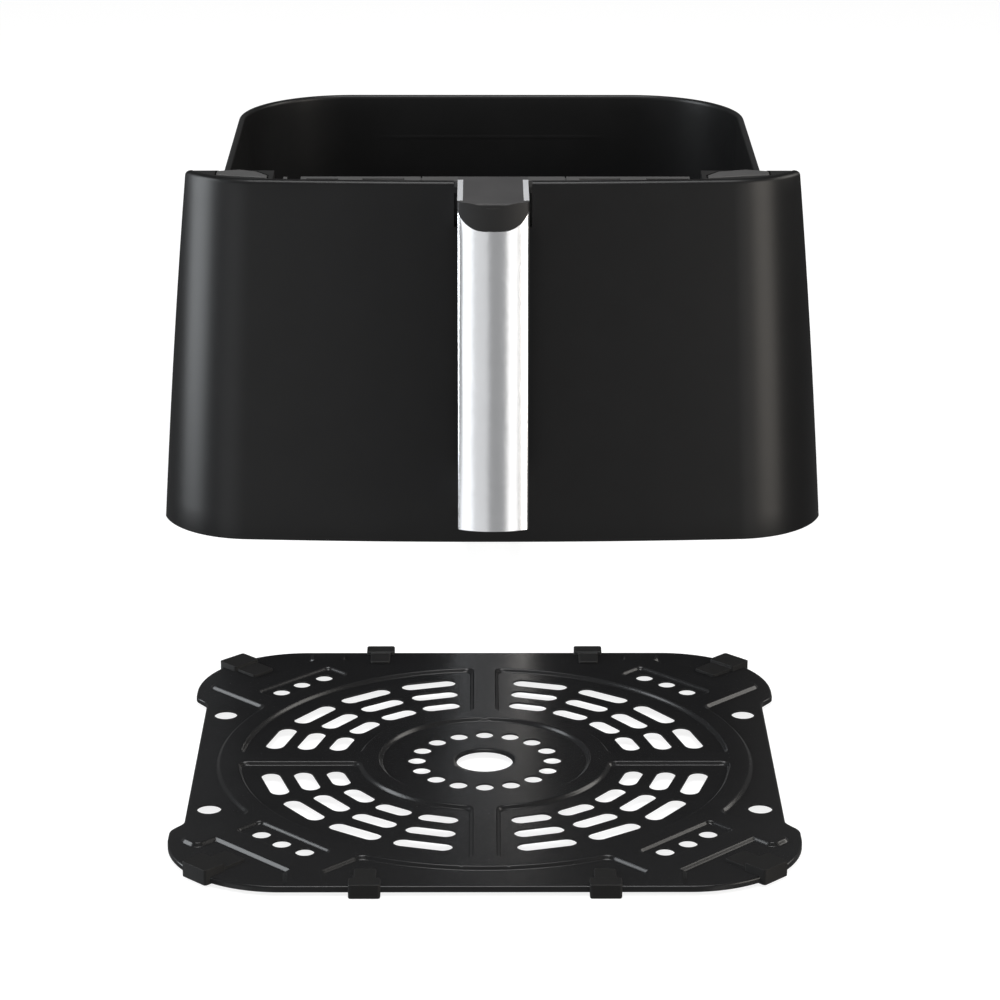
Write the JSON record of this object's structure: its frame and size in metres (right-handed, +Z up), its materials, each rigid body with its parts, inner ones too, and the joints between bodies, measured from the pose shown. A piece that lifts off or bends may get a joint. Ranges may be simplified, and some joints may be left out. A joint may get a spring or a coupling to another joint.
{
  "type": "air fryer drawer with crisper plate",
  "caption": "Pull-out drawer of an air fryer: coated square basket behind a tapered front cover with an upright bar handle, and its perforated crisper plate lying in front.",
  "frame": {"origin": "middle of the basket's flat bottom, on the surface that the drawer stands on", "axes": "+Z up; the handle and the crisper plate are towards -Y; +X is to the right of a person facing the handle"},
  "size_m": [0.2994, 0.6575, 0.1625],
  "materials": {
    "nonstick_coating": "semi-gloss black non-stick coating on deep-drawn steel sheet",
    "plate_coating": "semi-gloss black non-stick coating on pressed steel sheet",
    "cover_plastic": "satin black moulded plastic with a very fine grain",
    "trim_plastic": "matt black moulded plastic",
    "cap_plastic": "matt black moulded plastic",
    "frame_plastic": "plain black moulded plastic",
    "silver_metal": "satin silver aluminium with fine lengthways brushing",
    "zinc_steel": "zinc-plated pressed steel",
    "rivet_steel": "plain steel rivets",
    "screw_steel": "zinc-plated screws",
    "bare_aluminium": "bare rolled aluminium sheet",
    "silicone": "matt black silicone rubber"
  },
  "bodies": {
    "drawer": {"basket": "nonstick_coating", "basket_bracket": "zinc_steel", "bracket_rivets": "rivet_steel", "heat_shield": "bare_aluminium", "inner_frame": "frame_plastic", "top_vent_strip": "trim_plastic", "left_shoulder": "trim_plastic", "right_shoulder": "trim_plastic", "switch_tab": "trim_plastic", "front_cover": "cover_plastic", "handle_core": "frame_plastic", "handle_shell": "silver_metal", "handle_cap": "cap_plastic", "cover_screws": "screw_steel", "frame_screws": "screw_steel", "handle_screws": "screw_steel"},
    "plate": {"crisper_plate": "plate_coating", "edge_bumper_front_left": "silicone", "edge_bumper_front_right": "silicone", "edge_bumper_rear_left": "silicone", "edge_bumper_rear_right": "silicone", "corner_bumper_rear_right": "silicone", "corner_bumper_rear_left": "silicone", "corner_bumper_front_right": "silicone", "corner_bumper_front_left": "silicone"}
  },
  "joints": [
    {"name": "plate_lift", "type": "slide", "parent": "drawer", "child": "plate", "axis": [0, 0, 1], "range_m": [0, 0.2]}
  ]
}
